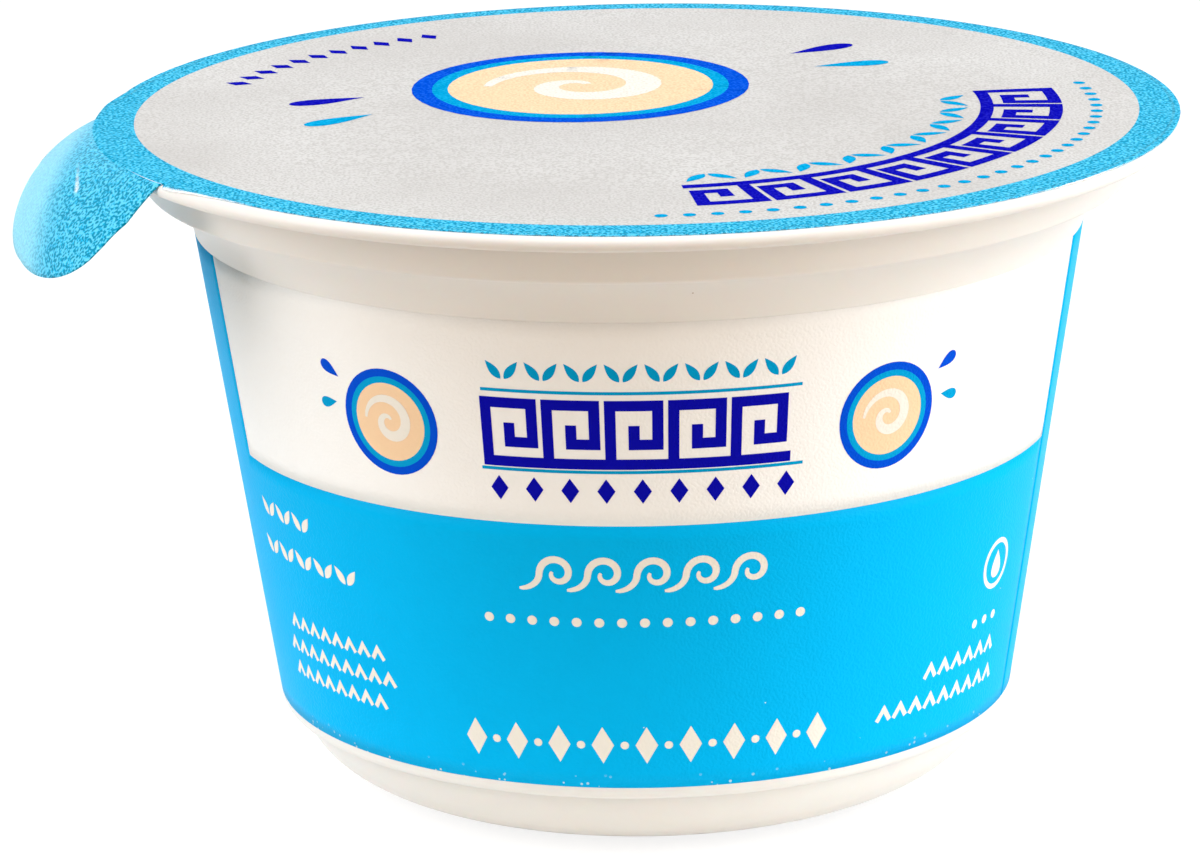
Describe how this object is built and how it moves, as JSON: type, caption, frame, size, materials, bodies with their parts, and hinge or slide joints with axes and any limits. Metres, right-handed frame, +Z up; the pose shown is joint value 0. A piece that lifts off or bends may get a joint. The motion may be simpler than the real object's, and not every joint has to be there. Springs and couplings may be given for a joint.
{
  "type": "yogurt pot",
  "caption": "Shut single-serve yogurt pot: tapered white plastic pot with stepped neck, moulded-in label and sealed foil lid with a folded pull tab.",
  "frame": {"origin": "on the pot's axis, in the plane of the foot ring that it stands on", "axes": "+Z up along the pot's axis, -Y towards the front of the label, +X to the right of the front"},
  "size_m": [0.1016, 0.095, 0.0593],
  "materials": {
    "white_plastic": "smooth satin white polypropylene",
    "label_film": "fine orange-peel printed film, white above and blue below",
    "lid_foil": "embossed foil, printed with a blue border and blue tab"
  },
  "bodies": {
    "root": {"pot": "white_plastic", "label": "label_film", "lid": "lid_foil"}
  },
  "joints": []
}
